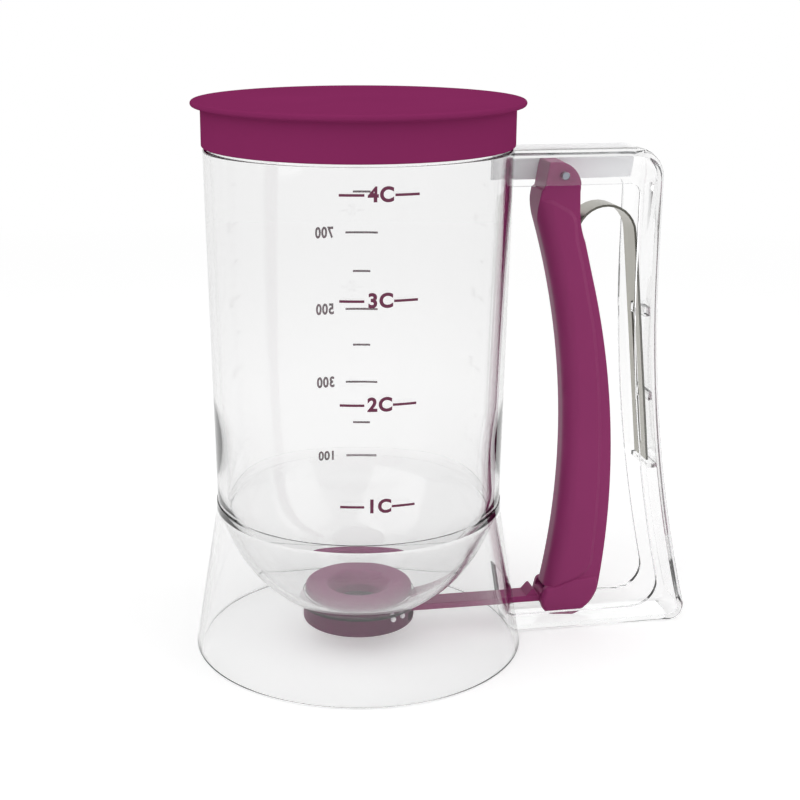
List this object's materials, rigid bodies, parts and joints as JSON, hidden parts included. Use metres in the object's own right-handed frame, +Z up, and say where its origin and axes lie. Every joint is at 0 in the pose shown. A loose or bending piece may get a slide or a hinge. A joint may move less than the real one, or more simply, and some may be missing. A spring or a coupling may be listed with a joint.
{
  "type": "pancake batter dispenser",
  "caption": "Clear hand-held batter cup with a push-on lid, a squeeze lever in a channel handle and a sliding gate under its bowl.",
  "frame": {"origin": "on the cup's axis, at the level of the foot's underside", "axes": "+Z up along the cup's axis, +X towards the handle, +Y to its left"},
  "size_m": [0.1758, 0.1142, 0.1881],
  "materials": {
    "clear_plastic": "clear polished styrene moulding",
    "plum_plastic": "smooth moulded polypropylene, satin",
    "silicone": "matt moulded silicone",
    "steel": "rolled spring strip and drawn wire"
  },
  "bodies": {
    "cup": {"cup_body": "clear_plastic", "bowl_funnel": "clear_plastic", "base_skirt": "clear_plastic", "handle_frame": "clear_plastic", "hinge_pin": "steel", "leaf_spring": "steel", "valve_seat_ring": "plum_plastic", "seat_gasket": "silicone", "valve_cap": "plum_plastic", "lip_seal": "silicone", "cap_pegs": "clear_plastic"},
    "lever": {"trigger_lever": "plum_plastic"},
    "gate": {"gate_slide": "plum_plastic", "gate_seal_disc": "silicone", "arm_pivot_pin": "steel"},
    "lid": {"lid": "plum_plastic"}
  },
  "joints": [
    {"name": "lever_squeeze", "type": "hinge", "parent": "cup", "child": "lever", "pos_m": [0.0677, 0, 0.1627], "axis": [0, -1, 0], "range_deg": [0, 6.5], "stiffness_Nm_per_rad": 3, "springref_deg": -4.58, "deforming": ["leaf_spring"]},
    {"name": "gate_pull", "type": "slide", "parent": "cup", "child": "gate", "axis": [1, 0, 0], "range_m": [0, 0.0174]},
    {"name": "lid_lift", "type": "slide", "parent": "cup", "child": "lid", "axis": [0, 0, 1], "range_m": [0, 0.03]}
  ],
  "couplings": [
    {"joint": "gate_pull", "follows": "lever_squeeze", "m_per_rad": 0.15215}
  ]
}
